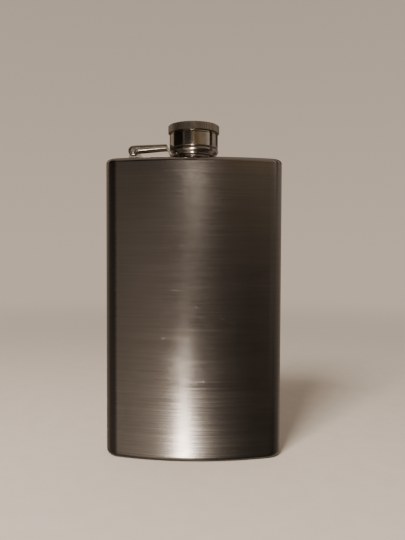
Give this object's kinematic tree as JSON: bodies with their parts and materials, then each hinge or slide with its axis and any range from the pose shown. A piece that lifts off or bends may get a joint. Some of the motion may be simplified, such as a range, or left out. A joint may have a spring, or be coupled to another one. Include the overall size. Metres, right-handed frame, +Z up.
{
  "type": "hip flask",
  "caption": "Slim curved steel pocket flask with a knurled screw cap held on a hinged arm.",
  "frame": {"origin": "centre of the plan outline on the surface the flask stands on", "axes": "+Z up towards the cap, +Y towards the concave back, -Y is the convex front, +X to the right seen from the front; the hinge arm is on the -X side"},
  "size_m": [0.094, 0.0286, 0.1752],
  "materials": {
    "brushed_body": "horizontally brushed stainless steel",
    "polished_steel": "polished stainless steel",
    "satin_knurl": "satin knurled steel",
    "turned_neck": "turned and rolled steel thread",
    "liner_plastic": "moulded, satin",
    "seal_rubber": "matte"
  },
  "bodies": {
    "flask": {"body_shell": "brushed_body", "base_plate": "brushed_body", "top_plate": "brushed_body", "neck": "turned_neck", "hinge_bracket": "polished_steel", "hinge_pin": "polished_steel"},
    "arm": {"hinge_arm": "polished_steel"},
    "cap": {"retaining_washer": "polished_steel", "cap_barrel": "polished_steel", "knurled_crown": "satin_knurl", "cap_liner": "liner_plastic", "cap_gasket": "seal_rubber"}
  },
  "joints": [
    {"name": "arm_swing", "type": "hinge", "parent": "flask", "child": "arm", "pos_m": [-0.0314, -0.00087, 0.1619], "axis": [0, -1, 0], "range_deg": [0, 180]},
    {"name": "cap_spin", "type": "hinge", "parent": "arm", "child": "cap", "pos_m": [0, -0.00087, 0.167], "axis": [0, 0, 1], "continuous": true}
  ]
}
